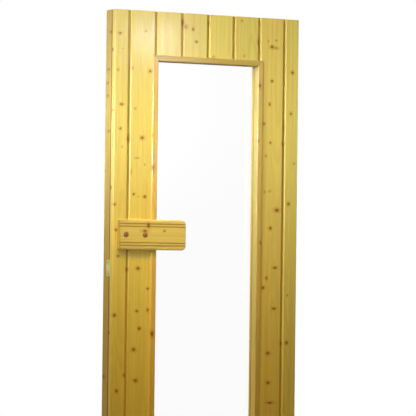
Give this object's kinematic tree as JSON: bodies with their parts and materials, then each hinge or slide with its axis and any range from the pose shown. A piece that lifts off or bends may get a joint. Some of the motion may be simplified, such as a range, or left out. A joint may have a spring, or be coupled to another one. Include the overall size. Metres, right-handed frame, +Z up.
{
  "type": "sauna door leaf",
  "caption": "Glazed sauna door leaf of upright tongue-and-groove pine boards on a jointed frame, with a reeded pull board and a roller catch.",
  "frame": {"origin": "on the hinge edge, at the leaf's foot and half way through its thickness", "axes": "+X from the closing edge to the hinge edge, +Y from the boarded face to the back, +Z up"},
  "size_m": [0.615, 0.0775, 1.83],
  "materials": {
    "board_pine": "varnished",
    "frame_pine": "varnished",
    "bead_pine": "varnished",
    "handle_pine": "varnished",
    "plug_wood": "varnished",
    "glass": "clear",
    "catch_nickel": "satin nickel plate",
    "pin_steel": "bright",
    "roller_nylon": "satin"
  },
  "bodies": {
    "leaf": {"closing_stile": "frame_pine", "hinge_stile": "frame_pine", "top_rail": "frame_pine", "bottom_rail": "frame_pine", "board_1": "board_pine", "board_2": "board_pine", "board_3_upper": "board_pine", "board_3_lower": "board_pine", "board_4_upper": "board_pine", "board_4_lower": "board_pine", "board_5_upper": "board_pine", "board_5_lower": "board_pine", "board_6_upper": "board_pine", "board_6_lower": "board_pine", "board_7": "board_pine", "board_8": "board_pine", "front_bead_left": "bead_pine", "front_bead_right": "bead_pine", "front_bead_top": "bead_pine", "front_bead_bottom": "bead_pine", "back_bead_left": "bead_pine", "back_bead_right": "bead_pine", "back_bead_top": "bead_pine", "back_bead_bottom": "bead_pine", "glass_pane": "glass", "handle_board": "handle_pine", "handle_plug_left": "plug_wood", "handle_plug_right": "plug_wood", "catch_plate": "catch_nickel", "catch_case": "catch_nickel", "catch_screw_upper": "pin_steel", "catch_screw_lower": "pin_steel"},
    "catch_bolt": {"catch_yoke": "catch_nickel", "catch_pin": "pin_steel"},
    "roller": {"catch_roller": "roller_nylon"}
  },
  "joints": [
    {"name": "catch_slide", "type": "slide", "parent": "leaf", "child": "catch_bolt", "axis": [1, 0, 0], "range_m": [0, 0.005], "stiffness_N_per_m": 2000, "springref_m": -0.004},
    {"name": "roller_spin", "type": "hinge", "parent": "catch_bolt", "child": "roller", "pos_m": [-0.609, -0.0015, 1.089], "axis": [0, 0, 1], "continuous": true}
  ]
}
